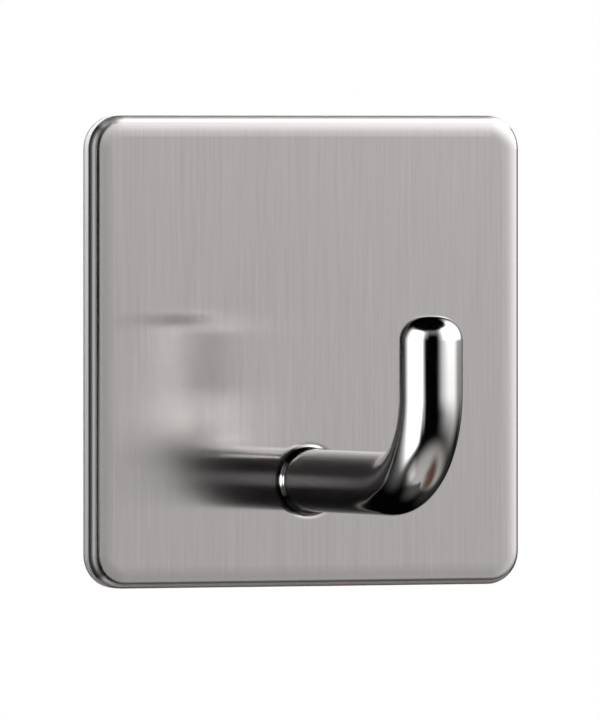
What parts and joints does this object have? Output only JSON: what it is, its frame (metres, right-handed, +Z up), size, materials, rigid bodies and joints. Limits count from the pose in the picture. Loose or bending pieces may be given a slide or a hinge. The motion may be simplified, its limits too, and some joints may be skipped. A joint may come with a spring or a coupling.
{
  "type": "adhesive wall hook",
  "caption": "Square brushed-steel plate with rounded corners and a polished upturned round hook, backed by foam tape with a peel-off liner, for hanging light things on a smooth wall.",
  "frame": {"origin": "centre of the wall side, on the outer face of the liner", "axes": "+Z up as it hangs, +Y into the wall, -Y out into the room along the hook, +X to the right seen from the room"},
  "size_m": [0.045, 0.0327, 0.045],
  "materials": {
    "brushed_plate": "satin, brushed vertically",
    "polished_rod": "mirror polished",
    "adhesive": "tacky film",
    "foam": "fine closed-cell foam",
    "liner": "smooth grey coated paper"
  },
  "bodies": {
    "hook_body": {"face_plate": "brushed_plate", "root_collar": "polished_rod", "hook_rod": "polished_rod", "plate_adhesive": "adhesive", "foam_core": "foam", "wall_adhesive": "adhesive"},
    "liner": {"release_liner": "liner"}
  },
  "joints": [
    {"name": "liner_peel", "type": "slide", "parent": "hook_body", "child": "liner", "axis": [0, 1, 0], "range_m": [0, 0.015]}
  ]
}
